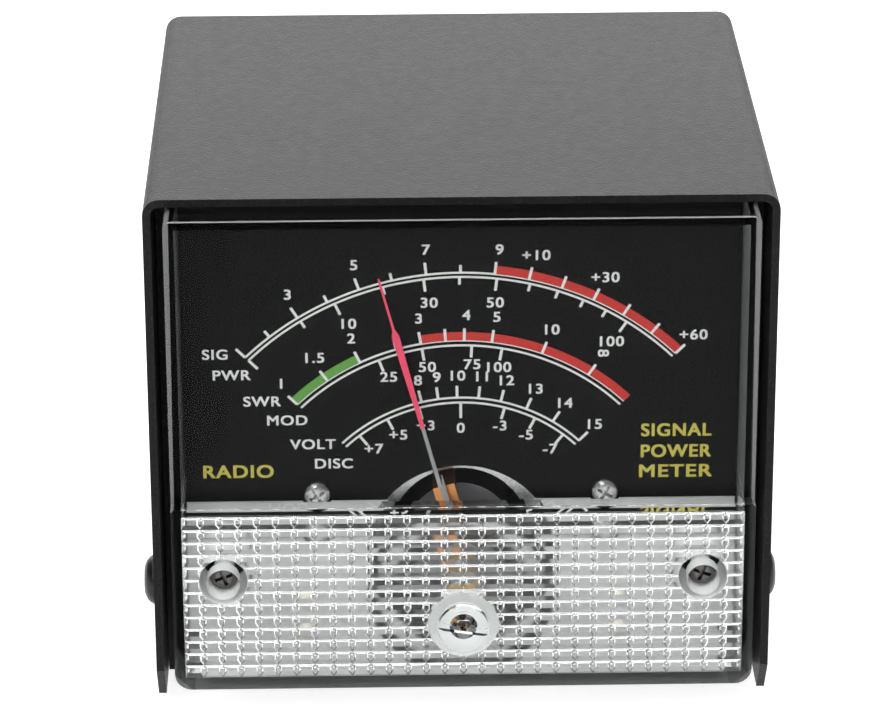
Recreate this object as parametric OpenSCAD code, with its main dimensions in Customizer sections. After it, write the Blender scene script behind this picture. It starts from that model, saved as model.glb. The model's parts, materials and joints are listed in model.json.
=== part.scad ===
// Analogue signal, power and SWR meter in a folded steel case.
// X runs to the right, Y to the rear and Z up. The origin is on the table, under the middle.

/* [Cover] */
// Outside width of the folded cover
cover_w = 110; // [90:0.5:140]
// Depth of the cover from its front edge to its rear edge
cover_d = 102; // [84:0.5:140]
// Height of the cover from its lower edges to its top
cover_h = 97.5; // [80:0.5:125]
// Thickness of the cover sheet
cover_t = 1.4; // [1:0.1:2]
// Outside radius of the two long bends
cover_bend_r = 3; // [2.4:0.1:6]
// Length of each clipped lower corner, along the edge
clip_d = 5.5; // [2:0.5:9]
// Height of each clipped lower corner
clip_h = 7.2; // [2:0.1:12]

/* [Chassis] */
// Thickness of the chassis sheet
chassis_t = 1.2; // [0.8:0.1:1.8]
// Play between the chassis and the cover, each side
chassis_play = 0.2; // [0.1:0.05:0.5]
// How far the cover's sides hang below the chassis floor
skirt_drop = 1; // [0.5:0.1:2]
// Depth of the hood that the cover makes in front of the front panel
hood_d = 13; // [8:0.5:20]
// How far the rear panel sits inside the cover's rear edge
rear_inset = 2; // [1.5:0.5:6]
// Height of the side flanges that take the case screws
side_flange_h = 25; // [20:1:40]

/* [Case screws] */
// Thread radius of a case screw
case_screw_r = 2; // [1.5:0.25:2.5]
// Head radius of a case screw
case_head_r = 4.6; // [3.5:0.1:6]
// Head height of a case screw
case_head_h = 2.7; // [1.5:0.1:3.5]
// Length of a case screw under its head
case_screw_l = 6; // [5:0.5:7]
// Distance of a front case screw behind the front panel
case_screw_behind = 4.3; // [3:0.1:8]
// Distance of a rear case screw from the cover's rear edge
case_screw_in = 18.5; // [16:0.5:24]
// Height of a case screw above the chassis floor
case_screw_up = 15.7; // [10:0.1:20]

/* [Feet] */
// Height of a rubber foot
foot_h = 3; // [2:0.5:8]
// Radius of a rubber foot
foot_r = 5; // [3:0.5:8]
// Distance of a foot's middle from the chassis edges
foot_in = 10; // [8.5:0.5:16]

/* [Lens] */
// Gap between the lens and the cover's inside, each side
lens_side_gap = 2.35; // [1:0.05:4]
// Gap between the lens and the cover's inside, at the top
lens_top_gap = 0.6; // [0.3:0.1:2]
// Height of the lens's lower edge above the chassis floor
lens_rise = 7; // [4:0.5:12]
// Wall of the lens
lens_t = 1.8; // [1.2:0.1:2.6]
// How far the window stands out of the cover
window_out = 6; // [3:0.5:10]
// How far the lower block stands out of the window
ledge_d = 3; // [1.5:0.5:5]
// Height of the lower block
block_h = 35; // [30:0.5:42]
// Thickness of the lower block's front, including its prisms
block_t = 2.4; // [1.8:0.1:3.2]
// Radius of the lens's lower corners
lens_low_r = 3; // [1:0.5:5]
// Radius of the lens's upper corners
lens_high_r = 1; // [0.5:0.5:3]

/* [Lens screws] */
// Thread radius of a lens screw
lens_screw_r = 1.5; // [1:0.25:1.75]
// Head radius of a lens screw
lens_head_r = 2.7; // [2:0.1:3.5]
// Play round a lens screw's head in its well
lens_head_play = 0.2; // [0.1:0.05:0.5]
// Wall of the well round a lens screw
lens_well_t = 1.4; // [1:0.1:2]
// Depth of the well down to the screw's seat
lens_well_d = 5; // [3:0.5:8]
// Distance of a lens screw from the lens's side
lens_screw_in = 8.95; // [7:0.05:12]
// Height of a lens screw above the lens's lower edge
lens_screw_up = 20.5; // [14:0.5:26]

/* [Zero adjuster] */
// Head radius of the zero adjuster
adjuster_head_r = 4.4; // [3.5:0.1:5.2]
// Radius of the round pad that the adjuster turns in
adjuster_pad_r = 6.2; // [5.8:0.1:7.5]
// How far the adjuster's head stands out of the lens
adjuster_out = 1; // [0.5:0.1:2]
// Shaft radius of the zero adjuster
adjuster_r = 2.4; // [1.8:0.1:3]
// Running clearance of the adjuster's shaft
adjuster_play = 0.08; // [0.02:0.01:0.1]
// Distance of the adjuster below the pointer's axis
adjuster_drop = 5.8; // [5:0.1:7]
// Offset of the eccentric pin from the shaft's axis
pin_offset = 0.6; // [0.3:0.05:0.9]
// Radius of the eccentric pin
pin_r = 0.6; // [0.4:0.05:0.8]

/* [Meter base] */
// Thickness of the base's flange
base_flange_t = 3; // [2.4:0.1:4]
// Depth of the base's tub behind the front panel
tub_d = 31; // [29.5:0.5:40]
// Half width of the base's tub
tub_half_w = 36; // [32:0.5:40]
// Height of the tub's top above the pointer's axis
tub_up = 52; // [40:1:56]
// Wall of the base's tub
tub_t = 1.5; // [1.2:0.1:2]
// Radius of a mounting stud
stud_r = 1.5; // [1:0.25:2]
// Length of a mounting stud behind the front panel
stud_l = 8; // [6:0.5:12]

/* [Dial] */
// Thickness of the dial plate
dial_t = 0.8; // [0.5:0.1:1.2]
// How deep the dial's face sits in the base's flange
dial_sink = 1; // [0.6:0.1:1.2]
// Height of the pointer's axis above the lens's lower edge
axis_rise = 17.4; // [17:0.1:20]
// Radius of the dial's round cut-out
dial_cut_r = 17; // [16.2:0.1:19]
// Height of the dial's lower edge above the pointer's axis
dial_low = 7.6; // [6:0.1:8.5]
// Height of the light reflector's top above the pointer's axis
reflector_up = 10.9; // [9:0.1:11.5]
// Sideways distance of a dial screw from the pointer's axis
dial_screw_x = 25.8; // [24:0.1:28]
// Height of a dial screw above the pointer's axis
dial_screw_up = 12; // [11.5:0.1:16]
// Thread radius of a dial screw
dial_screw_r = 1.25; // [1:0.05:1.5]
// Head radius of a dial screw
dial_head_r = 2.5; // [2:0.1:3]

/* [Pointer] */
// Room left between the pointer's tip and the lens's top
tip_room = 12.6; // [9:0.1:20]
// Angle of the reading, from upright, positive to the right
reading_deg = -15; // [-45:1:45]
// Gap between the pointer and the dial
pointer_gap = 1.9; // [1:0.1:2.6]
// Thickness of the pointer
pointer_t = 0.5; // [0.3:0.05:0.7]
// Radius at which the pointer cranks back to its hub
crank_r = 15; // [13:0.1:15.6]

/* [Movement] */
// Radius of the core magnet
core_r = 9.6; // [8:0.1:9.8]
// Gap between the core and the coil, and between the coil and the yoke
coil_gap = 0.6; // [0.4:0.05:0.7]
// Thickness of the coil's former
former_t = 0.3; // [0.2:0.05:0.4]
// Thickness of the winding
winding_t = 1.3; // [0.8:0.1:1.4]
// Width of the winding
winding_w = 4; // [2.5:0.1:4.4]
// Wall of the yoke ring
yoke_t = 2.6; // [1.8:0.1:2.8]
// Length of the yoke and the core
yoke_l = 12; // [10:0.5:13]

/* [Rear panel] */
// Sideways distance of each socket from the middle
socket_x = 22; // [16:0.5:30]
// Height of the sockets above the chassis floor
socket_up = 32; // [20:1:38]
// Bore radius of the meter socket, for a 3.5 mm plug
jack_bore_r = 1.8; // [1.8:0.05:1.85]
// Thread radius of the meter socket's bush
jack_bush_r = 3; // [2.8:0.1:3.5]
// How far the meter socket's bush stands out of the cover's rear edge
jack_out = 2; // [1:0.5:4]
// Opening radius of the lamp supply socket
supply_bore_r = 3.1; // [2.9:0.05:3.2]
// Radius of the lamp supply socket's centre pin
supply_pin_r = 1.05; // [0.8:0.05:1.25]
// Height of the calibration trimmer above the chassis floor
trimmer_up = 59; // [54:1:66]

/* [Hidden] */

$fn = 48;
touch = 0.02; // clearance between a part and the part that it is fixed in
tapped = 0.05; // clearance between a screw and the hole it is tapped into
free = 0.3; // clearance of a screw in the hole that it passes through
past = 1; // how far a cut runs past a face

// Heights
floor_z = foot_h;
skirt_z = floor_z - skirt_drop;
cover_top = skirt_z + cover_h;
cover_in_top = cover_top - cover_t;
lens_low = floor_z + lens_rise;
lens_top = cover_in_top - lens_top_gap;
ledge_z = lens_low + block_h;
axis_z = lens_low + axis_rise;
adjuster_z = axis_z - adjuster_drop;
lens_screw_z = lens_low + lens_screw_up;
dial_screw_z = axis_z + dial_screw_up;
dial_low_z = axis_z + dial_low;
socket_z = floor_z + socket_up;
trimmer_z = floor_z + trimmer_up;
case_screw_z = floor_z + case_screw_up;

// Planes from front to rear
front_y = -cover_d / 2 + (window_out + ledge_d + adjuster_out - jack_out) / 2;
rear_y = front_y + cover_d;
window_y = front_y - window_out;
block_y = window_y - ledge_d;
panel_y = front_y + hood_d;
flange_y = panel_y - base_flange_t;
dial_y = flange_y + dial_sink;
tub_y = panel_y + tub_d;
back_y = rear_y - rear_inset;
back_in_y = back_y - chassis_t;

// Widths
cover_in_w = cover_w - 2 * cover_t;
chassis_w = cover_in_w - 2 * chassis_play;
lens_w = cover_in_w - 2 * lens_side_gap;
lens_in_w = lens_w - 2 * lens_t;
lens_screw_x = lens_w / 2 - lens_screw_in;
well_r = lens_head_r + lens_head_play;
stud_in = 6.5; // distance of a mounting stud from the lens's sides, top and bottom

// Movement, from front to rear
lever_y = dial_y - 4.7; // front of the zero lever
lever_t = 0.6;
boss_r = 2.2; // boss on the bridge that carries the zero lever
bridge_y = dial_y - 3.5; // front of the front bridge
bridge_t = 1.5;
jewel_y = dial_y - 1.1; // rear end of the front jewel screw
hub_y = dial_y + 1;
coil_y = dial_y + 3.6;
yoke_y = dial_y + 9;
coil_in_r = core_r + coil_gap;
coil_out_r = coil_in_r + former_t + winding_t;
coil_corner_r = sqrt(coil_out_r * coil_out_r + winding_w * winding_w / 4);
yoke_in_r = coil_corner_r + coil_gap;
yoke_out_r = yoke_in_r + yoke_t;
post_r = 1.1;
post_x = yoke_in_r + yoke_t / 2;
coil_l = yoke_l + (yoke_y - coil_y) + 2.2;
rear_bridge_y = coil_y + coil_l + 1.8;
pad_x = 22; // sideways distance of the movement's mounting pads
spring_r = 5;
anchor_r = spring_r + 0.9;

// Pointer
swing = 53; // furthest angle of the pointer from upright
pointer_y = dial_y - pointer_gap - pointer_t;
side_room = 2.5;
pointer_len = min(lens_top - lens_t - tip_room - axis_z, (lens_in_w / 2 - side_room) / sin(swing));

// Adjuster
adjuster_head_t = 2.2;
lever_reach = adjuster_drop + pin_offset; // from the axis to the eccentric pin

// Rear
board_y = back_in_y - 8.8;
board_t = 1.6;
board_w = 60;
board_low_z = socket_z + 10;
board_h = 35;
spacer_x = board_w / 2 - 5;

// A cylinder along Y, from y0 to y1
module rod_y(r, y0, y1, x = 0, z = 0, r2 = undef)
    translate([x, y1, z]) rotate([90, 0, 0])
        cylinder(h = y1 - y0, r1 = is_undef(r2) ? r : r2, r2 = r);

// A tube along Y
module tube_y(r_out, r_in, y0, y1, x = 0, z = 0)
    difference() {
        rod_y(r_out, y0, y1, x, z);
        rod_y(r_in, y0 - past, y1 + past, x, z);
    }

// A box from its two corners
module box(x0, x1, y0, y1, z0, z1)
    translate([x0, y0, z0]) cube([x1 - x0, y1 - y0, z1 - z0]);

// One rounded corner, as points from angle a to angle a + 90
function corner(cx, cz, r, a, n = 6) =
    [for (i = [0 : n]) [cx + r * cos(a + 90 * i / n), cz + r * sin(a + 90 * i / n)]];

// A rounded outline, symmetric about x = 0, with its own lower and upper radii
function outline(w, z0, z1, r_low, r_high) = concat(
    corner(w / 2 - r_high, z1 - r_high, r_high, 0),
    corner(-w / 2 + r_high, z1 - r_high, r_high, 90),
    corner(-w / 2 + r_low, z0 + r_low, r_low, 180),
    corner(w / 2 - r_low, z0 + r_low, r_low, 270));

// A flat shape in X and Z, made thick along Y
module thick_y(points, y0, y1)
    translate([0, y1, 0]) rotate([90, 0, 0]) linear_extrude(y1 - y0) polygon(points);

// A flat shape in Y and Z, made thick along X
module thick_x(points, x0, x1)
    translate([x0, 0, 0]) rotate([90, 0, 90]) linear_extrude(x1 - x0) polygon(points);

// Repeats its children on the left and on the right
module both_sides() {
    children();
    mirror([1, 0, 0]) children();
}

// A hexagonal nut along Y
module nut_y(flats, r_in, y0, y1, x, z)
    difference() {
        translate([x, y1, z]) rotate([90, 0, 0]) cylinder(h = y1 - y0, r = flats / sqrt(3), $fn = 6);
        rod_y(r_in, y0 - past, y1 + past, x, z);
    }

// A screw head's domed profile, revolved about Z, standing on z = 0
module domed_head(r, h, rim = 0.5)
    rotate_extrude() polygon(concat([[0, 0], [r, 0]],
        [for (a = [0 : 15 : 75]) [r * (0.35 + 0.65 * cos(a)), rim + (h - rim) * sin(a)]],
        [[0, h]]));

// A cross recess cut down from z = h
module cross_recess(size, width, depth, h)
    for (a = [0, 90])
        rotate([0, 0, a]) translate([-size / 2, -width / 2, h - depth])
            cube([size, width, depth + past]);

// A pan-head screw along Y, with its head towards the front and its seat at y0
module screw_y(r, head_r, head_h, y0, length, x, z, turn = 0)
    translate([x, y0, z]) rotate([90, turn, 0]) {
        difference() {
            domed_head(head_r, head_h);
            cross_recess(head_r * 1.2, head_r * 0.24, head_h * 0.6, head_h);
        }
        translate([0, 0, -length]) cylinder(h = length, r = r);
    }

// A soft tube along a smooth curve with four control points
function curve_point(p, t) =
    pow(1 - t, 3) * p[0] + 3 * pow(1 - t, 2) * t * p[1]
    + 3 * (1 - t) * t * t * p[2] + pow(t, 3) * p[3];
function curve_slope(p, t) =
    3 * pow(1 - t, 2) * (p[1] - p[0]) + 6 * (1 - t) * t * (p[2] - p[1]) + 3 * t * t * (p[3] - p[2]);
function unit(v) = v / norm(v);

module wire(p, r, rings = 14, sides = 8) {
    points = [for (i = [0 : rings - 1])
        let (t = i / (rings - 1), along = unit(curve_slope(p, t)),
            side = unit(cross(along, [0.1, 0.2, 1])), up = cross(side, along))
        for (k = [0 : sides - 1])
            curve_point(p, t) + r * (cos(360 * k / sides) * side + sin(360 * k / sides) * up)];
    faces = concat(
        [[for (k = [0 : sides - 1]) k]],
        [[for (k = [sides - 1 : -1 : 0]) (rings - 1) * sides + k]],
        [for (i = [0 : rings - 2]) for (k = [0 : sides - 1]) for (half = [0, 1])
            let (a = i * sides, b = a + sides, n = (k + 1) % sides)
            half == 0 ? [a + k, b + k, b + n] : [a + k, b + n, a + n]]);
    polyhedron(points = points, faces = faces, convexity = 6);
}

// ---- Case ----

// Cuts one clipped corner off the cover's sides, at the edge y0, going inwards along dir
module clip_cut(y0, dir) {
    rise = clip_h / clip_d;
    thick_x([[y0 - dir * past, skirt_z - past],
        [y0 + dir * (clip_d + past / rise), skirt_z - past],
        [y0 - dir * past, skirt_z + clip_h + past * rise]],
        -cover_w, cover_w);
}

module at_case_screws()
    for (y = [panel_y + chassis_t + case_screw_behind, rear_y - case_screw_in]) both_sides()
        translate([cover_w / 2, y, case_screw_z]) rotate([0, 90, 0]) children();

module cover() color("#1c1c1e")
    difference() {
        thick_y(concat(corner(cover_w / 2 - cover_bend_r, cover_top - cover_bend_r, cover_bend_r, 0),
            corner(-cover_w / 2 + cover_bend_r, cover_top - cover_bend_r, cover_bend_r, 90),
            [[-cover_w / 2, skirt_z], [cover_w / 2, skirt_z]]), front_y, rear_y);
        thick_y(concat(
            corner(cover_w / 2 - cover_bend_r, cover_top - cover_bend_r, cover_bend_r - cover_t, 0),
            corner(-cover_w / 2 + cover_bend_r, cover_top - cover_bend_r, cover_bend_r - cover_t, 90),
            [[-cover_in_w / 2, skirt_z - past], [cover_in_w / 2, skirt_z - past]]),
            front_y - past, rear_y + past);
        clip_cut(front_y, 1);
        clip_cut(rear_y, -1);
        at_case_screws() translate([0, 0, -cover_t - past / 2])
            cylinder(h = cover_t + past, r = case_screw_r + free);
    }

module case_screws() color("#161618")
    at_case_screws() {
        difference() {
            domed_head(case_head_r, case_head_h);
            cross_recess(case_head_r, 1, 1.6, case_head_h);
        }
        translate([0, 0, -case_screw_l]) cylinder(h = case_screw_l, r = case_screw_r);
    }

// An upright panel of the chassis, with its corners clear of the cover's bends
module panel(y)
    difference() {
        box(-chassis_w / 2, chassis_w / 2, y, y + chassis_t,
            floor_z + chassis_t, cover_in_top - chassis_play);
        both_sides() box(chassis_w / 2 - cover_bend_r + cover_t, cover_w, y - past, y + chassis_t + past,
            cover_top - cover_bend_r - chassis_play, cover_top);
    }

module front_panel() color("#222224")
    difference() {
        panel(panel_y);
        // window for the meter's tub
        box(-tub_half_w - free, tub_half_w + free, panel_y - past, panel_y + chassis_t + past,
            lens_low + 0.2, axis_z + tub_up + free);
        at_studs() rod_y(stud_r + free, panel_y - past, panel_y + chassis_t + past);
        both_sides() rod_y(lens_screw_r + free, panel_y - past, panel_y + chassis_t + past,
            lens_screw_x, lens_screw_z);
    }

// Floor and two side flanges
module chassis() color("#222224")
    difference() {
        union() {
            box(-chassis_w / 2, chassis_w / 2, panel_y, back_y, floor_z, floor_z + chassis_t);
            both_sides() box(chassis_w / 2 - chassis_t, chassis_w / 2,
                panel_y + chassis_t + 0.5, back_in_y - 0.5, floor_z, floor_z + side_flange_h);
        }
        at_case_screws() translate([0, 0, -10]) cylinder(h = 10, r = case_screw_r + tapped);
    }

// Rear panel with its sockets, board screws and trimmer opening
module rear_panel() color("#222224")
    difference() {
        panel(back_in_y);
        rod_y(jack_bush_r + free / 2, back_in_y - past, back_y + past, -socket_x, socket_z);
        rod_y(supply_r + free / 2, back_in_y - past, back_y + past, socket_x, socket_z);
        rod_y(2.5, back_in_y - past, back_y + past, 0, trimmer_z);
        at_spacers() rod_y(board_screw_r + free / 2, back_in_y - past, back_y + past);
    }

module feet() color("#101010")
    for (y = [panel_y + foot_in, back_y - foot_in]) both_sides()
        translate([chassis_w / 2 - foot_in, y, 0])
            rotate_extrude() polygon([[0, 0], [foot_r - 0.8, 0], [foot_r, 0.8], [foot_r, foot_h], [0, foot_h]]);

// ---- Lens and its fasteners ----

module at_studs()
    for (z = [lens_low + stud_in, lens_top - stud_in]) both_sides()
        translate([lens_w / 2 - stud_in, 0, z]) children();

module lens_cover() color([0.85, 0.88, 0.9, 0.35])
    difference() {
        union() {
            difference() {
                union() {
                    thick_y(outline(lens_w, lens_low, lens_top, lens_low_r, lens_high_r), window_y, flange_y);
                    thick_y(outline(lens_w, lens_low, ledge_z, lens_low_r, 0.6), block_y, window_y + lens_t);
                }
                box(-lens_in_w / 2, lens_in_w / 2, window_y + lens_t, flange_y + past,
                    ledge_z - lens_t, lens_top - lens_t);
                thick_y(outline(lens_in_w, lens_low + lens_t, ledge_z - lens_t, lens_low_r - lens_t / 2, 0.4),
                    block_y + block_t, flange_y + past);
            }
            both_sides() rod_y(well_r + lens_well_t, block_y + block_t / 2, flange_y,
                lens_screw_x, lens_screw_z);
            rod_y(adjuster_pad_r, block_y + block_t / 2, block_y + block_t + 1.6, 0, adjuster_z);
        }
        both_sides() {
            rod_y(well_r, block_y - past, block_y + lens_well_d, lens_screw_x, lens_screw_z);
            rod_y(lens_screw_r + free, block_y - past, flange_y + past, lens_screw_x, lens_screw_z);
        }
        rod_y(adjuster_head_r + free, block_y - past, block_y + adjuster_head_t - adjuster_out + 0.1,
            0, adjuster_z);
        rod_y(adjuster_r + adjuster_play, block_y - past, flange_y, 0, adjuster_z);
    }

module lens_screws() color("#4a4a4e")
    both_sides() screw_y(lens_screw_r, lens_head_r, 2, block_y + lens_well_d,
        panel_y + chassis_t + 3 - block_y - lens_well_d, lens_screw_x, lens_screw_z, 20);

module zero_adjuster() color([0.9, 0.92, 0.94, 0.4])
    difference() {
        union() {
            rod_y(adjuster_head_r, block_y - adjuster_out + 0.6, block_y - adjuster_out + adjuster_head_t,
                0, adjuster_z);
            rod_y(adjuster_head_r - 0.8, block_y - adjuster_out, block_y - adjuster_out + 0.6,
                0, adjuster_z, adjuster_head_r);
            rod_y(adjuster_r, block_y, lever_y - 0.4, 0, adjuster_z);
            rod_y(pin_r, lever_y - 0.6, lever_y + lever_t + 0.4, 0, adjuster_z - pin_offset);
        }
        translate([0, block_y - adjuster_out, adjuster_z]) rotate([0, 9, 0])
            box(-adjuster_head_r - past, adjuster_head_r + past, -past, 1, -0.6, 0.6);
    }

// Sprung ring that keeps the adjuster in the lens
module adjuster_ring() color("#8a8d90")
    tube_y(adjuster_r + 1.6, adjuster_r + touch, block_y + block_t + 1.7, block_y + block_t + 2.3,
        0, adjuster_z);

// ---- Meter base ----

module meter_base() color("#151517")
    difference() {
        union() {
            thick_y(outline(lens_w, lens_low, lens_top, lens_low_r, lens_high_r), flange_y, panel_y);
            box(-tub_half_w, tub_half_w, panel_y - past, tub_y, lens_low + 0.5, axis_z + tub_up);
            at_studs() rod_y(stud_r, panel_y - past, panel_y + chassis_t + stud_l);
        }
        // seat of the dial plate
        box(-lens_in_w / 2 - touch, lens_in_w / 2 + touch, flange_y - past, dial_y + dial_t,
            dial_low_z - free, lens_top - lens_t);
        difference() {
            box(-tub_half_w + tub_t, tub_half_w - tub_t, flange_y - past, tub_y - 2,
                lens_low + 0.5 + tub_t, axis_z + tub_up - tub_t);
            both_sides() {
                rod_y(3, dial_y + dial_t, tub_y - 1, dial_screw_x, dial_screw_z);
                rod_y(3.2, rear_bridge_y + bridge_t, tub_y - 1, pad_x, axis_z);
            }
        }
        both_sides() {
            rod_y(lens_screw_r + tapped, flange_y - past, panel_y + past, lens_screw_x, lens_screw_z);
            rod_y(dial_screw_r + tapped, dial_y, dial_y + 9, dial_screw_x, dial_screw_z);
            rod_y(1.5 + tapped, rear_bridge_y, tub_y - 1, pad_x, axis_z);
            rod_y(2 + tapped, tub_y - 3, tub_y + past, 10, terminal_z);
        }
    }

module meter_washers() color("#a9abad")
    at_studs() tube_y(stud_r + 2, stud_r + touch, panel_y + chassis_t, panel_y + chassis_t + 0.5);

module meter_nuts() color("#c0c2c4")
    at_studs() nut_y(5.5, stud_r + tapped, panel_y + chassis_t + 0.5, panel_y + chassis_t + 2.9, 0, 0);

terminal_z = axis_z + 34; // height of the two terminal studs

module terminal_studs() color("#b08d4a")
    both_sides() {
        rod_y(2, tub_y - 2, tub_y + 9, 10, terminal_z);
        rod_y(3.4, tub_y - 3.4, tub_y - 2, 10, terminal_z);
    }

module solder_lugs() color("#c9c4b0")
    both_sides() difference() {
        union() {
            rod_y(3.6, tub_y, tub_y + 0.6, 10, terminal_z);
            box(8.4, 11.6, tub_y, tub_y + 0.6, terminal_z + 2, terminal_z + 11);
        }
        rod_y(2 + tapped, tub_y - past, tub_y + past, 10, terminal_z);
    }

module terminal_nuts() color("#b08d4a")
    both_sides() nut_y(7, 2 + tapped, tub_y + 0.6, tub_y + 3.8, 10, terminal_z);

// ---- Dial and lighting ----

module dial_plate() color("#19191b")
    difference() {
        box(-lens_in_w / 2 + 0.25, lens_in_w / 2 - 0.25, dial_y, dial_y + dial_t,
            dial_low_z, lens_top - lens_t - 0.4);
        rod_y(dial_cut_r, dial_y - past, dial_y + dial_t + past, 0, axis_z);
        both_sides() rod_y(dial_screw_r + free / 2, dial_y - past, dial_y + dial_t + past,
            dial_screw_x, dial_screw_z);
    }

module dial_screws() color("#d8d8da")
    both_sides() screw_y(dial_screw_r, dial_head_r, 1.7, dial_y, 8, dial_screw_x, dial_screw_z, 30);

lamp_x = 28; // sideways distance of each lamp
lamp_z = lens_low + 10;
lamp_r = 1.5;
reflector_t = 0.8;

// White sheet behind the prisms: an upright wall, a floor and four short pegs
module light_reflector() color("#eeeeec")
    difference() {
        union() {
            box(-lens_in_w / 2 + 0.3, lens_in_w / 2 - 0.3, flange_y - reflector_t, flange_y,
                lens_low + lens_t + 2, axis_z + reflector_up);
            box(-lens_in_w / 2 + 3, lens_in_w / 2 - 3, block_y + block_t + 0.3, flange_y,
                lens_low + lens_t + 0.2, lens_low + lens_t + 0.2 + reflector_t);
            box(-lens_in_w / 2 + 3, lens_in_w / 2 - 3, flange_y - reflector_t, flange_y,
                lens_low + lens_t + 0.2, lens_low + lens_t + 3);
            both_sides() for (dx = [-4.5, 4.5])
                rod_y(0.9, flange_y - 0.1, lamp_board_y, lamp_x + dx, lamp_z);
        }
        rod_y(dial_cut_r, flange_y - 2, flange_y + past, 0, axis_z);
        both_sides() {
            rod_y(well_r + lens_well_t + free, flange_y - 2, flange_y + past, lens_screw_x, lens_screw_z);
            rod_y(lamp_r + tapped, flange_y - 2, flange_y + past, lamp_x, lamp_z);
            rod_y(dial_head_r + free, flange_y - 2, flange_y + past, dial_screw_x, dial_screw_z);
        }
    }

lamp_board_y = flange_y + 2.4;

module lamp_boards() color("#2f5d3a")
    both_sides() box(lamp_x - 5.5, lamp_x + 5.5, lamp_board_y, lamp_board_y + 1.2, lamp_z - 5, lamp_z + 5);

module lamps() color("#f4f0dc")
    both_sides() {
        rod_y(lamp_r, flange_y - 1.6, lamp_board_y, lamp_x, lamp_z);
        translate([lamp_x, flange_y - 1.6, lamp_z]) intersection() {
            sphere(r = lamp_r);
            box(-3, 3, -3, 0, -3, 3);
        }
    }

// ---- Movement: what turns with the pointer ----

// Turns its children from upright to the reading, about the pointer's axis
module at_reading()
    translate([0, 0, axis_z]) rotate([0, reading_deg, 0]) children();

module pointer_blade() color("#f2446a")
    at_reading() thick_y([[-0.17, pointer_len], [-0.22, pointer_len * 0.82], [-0.68, pointer_len * 0.8],
        [-0.35, pointer_len * 0.47], [0.35, pointer_len * 0.47], [0.68, pointer_len * 0.8],
        [0.22, pointer_len * 0.82], [0.17, pointer_len]], pointer_y, pointer_y + pointer_t);

module pointer_stem() color("#9b9b9b")
    at_reading() {
        thick_y([[-0.3, pointer_len * 0.47], [-0.35, crank_r], [0.35, crank_r], [0.3, pointer_len * 0.47]],
            pointer_y, pointer_y + pointer_t);
        box(-0.35, 0.35, pointer_y, hub_y + 1, crank_r - 0.6, crank_r);
        box(-0.55, 0.55, hub_y + 0.4, hub_y + 1, 1, crank_r);
        difference() {
            union() {
                rod_y(1.9, hub_y, coil_y);
                for (a = [90, 180, 270]) rotate([0, a, 0]) box(-0.4, 0.4, hub_y + 0.4, hub_y + 1, 1, 8);
            }
            rod_y(0.6 + touch, hub_y - past, coil_y + past);
        }
    }

module balance_weights() color("#b5893c")
    at_reading() for (a = [90, 180, 270]) rotate([0, a, 0])
        rod_y(a == 180 ? 1.6 : 1.1, hub_y + 1, hub_y + 2.4, 0, 6.4);

// A rectangular loop in the plane of the axis, with its own size and band
module coil_loop(r_out, r_in, y0, y1, end_t, w)
    difference() {
        box(-w / 2, w / 2, y0, y1, -r_out, r_out);
        box(-w, w, y0 + end_t, y1 - end_t, -r_in, r_in);
    }

module coil_winding() color("#a4502c")
    at_reading() difference() {
        coil_loop(coil_out_r, coil_in_r + former_t, coil_y, coil_y + coil_l, 1, winding_w);
        rod_y(1, coil_y - past, coil_y + coil_l + past);
    }

module coil_former() color("#b9bcc0")
    at_reading() difference() {
        coil_loop(coil_in_r + former_t, coil_in_r, coil_y + 1, coil_y + coil_l - 1, former_t, winding_w);
        rod_y(0.6 + touch, coil_y, coil_y + coil_l);
    }

module pivots() color("#d0d2d4")
    at_reading() {
        rod_y(0.6, hub_y - 1.2, coil_y + 1 + former_t);
        rod_y(0.35, hub_y - 1.7, hub_y - 1.2);
        rod_y(0.05, jewel_y - 0.55, hub_y - 1.7, 0, 0, 0.35);
        rod_y(0.6, coil_y + coil_l - 1 - former_t, coil_y + coil_l + 0.7);
        rod_y(0.35, coil_y + coil_l + 0.7, rear_bridge_y - 0.7, 0, 0, 0.05);
    }

// ---- Movement: what stays with the zero lever ----

// A flat spiral strip from r0 to r1, about the axis
module hairspring(r0, r1, turns, y0)
    thick_y(let (n = 18 * turns, w = 0.25) concat(
        [for (i = [0 : n]) let (a = 20 * i, r = r0 + (r1 - r0) * i / n) [r * sin(a), r * cos(a)]],
        [for (i = [n : -1 : 0]) let (a = 20 * i, r = r0 + w + (r1 - r0) * i / n) [r * sin(a), r * cos(a)]]),
        y0, y0 + 0.4);

module front_hairspring() color("#b9a26a")
    translate([0, 0, axis_z]) hairspring(1.4, spring_r, 4, jewel_y + 0.4);

module zero_lever() color("#b9bbbd")
    translate([0, 0, axis_z]) {
        difference() {
            union() {
                rod_y(4.2, lever_y, lever_y + lever_t);
                box(-2, 2, lever_y, lever_y + lever_t, -lever_reach - 2, -2);
                box(-1, 1, lever_y, lever_y + lever_t, 2, anchor_r + 0.6);
            }
            rod_y(boss_r + 0.06, lever_y - past, lever_y + lever_t + past);
            box(-pin_r - 0.1, pin_r + 0.1, lever_y - past, lever_y + lever_t + past,
                -lever_reach - 2 - past, -lever_reach + 1.6);
        }
        box(-0.5, 0.5, lever_y, jewel_y + 0.8, anchor_r - 0.2, anchor_r + 0.6);
    }

// ---- Movement: what is fixed ----

module front_bridge() color("#7d8084")
    translate([0, 0, axis_z]) difference() {
        union() {
            box(-post_x - post_r, post_x + post_r, bridge_y, bridge_y + bridge_t, -3.2, 3.2);
            rod_y(boss_r, lever_y - 0.1, bridge_y + 0.1);
            both_sides() rod_y(post_r, bridge_y + 0.1, yoke_y, post_x);
        }
        rod_y(1.25 + tapped, lever_y - past, bridge_y + bridge_t + past);
    }

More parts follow.
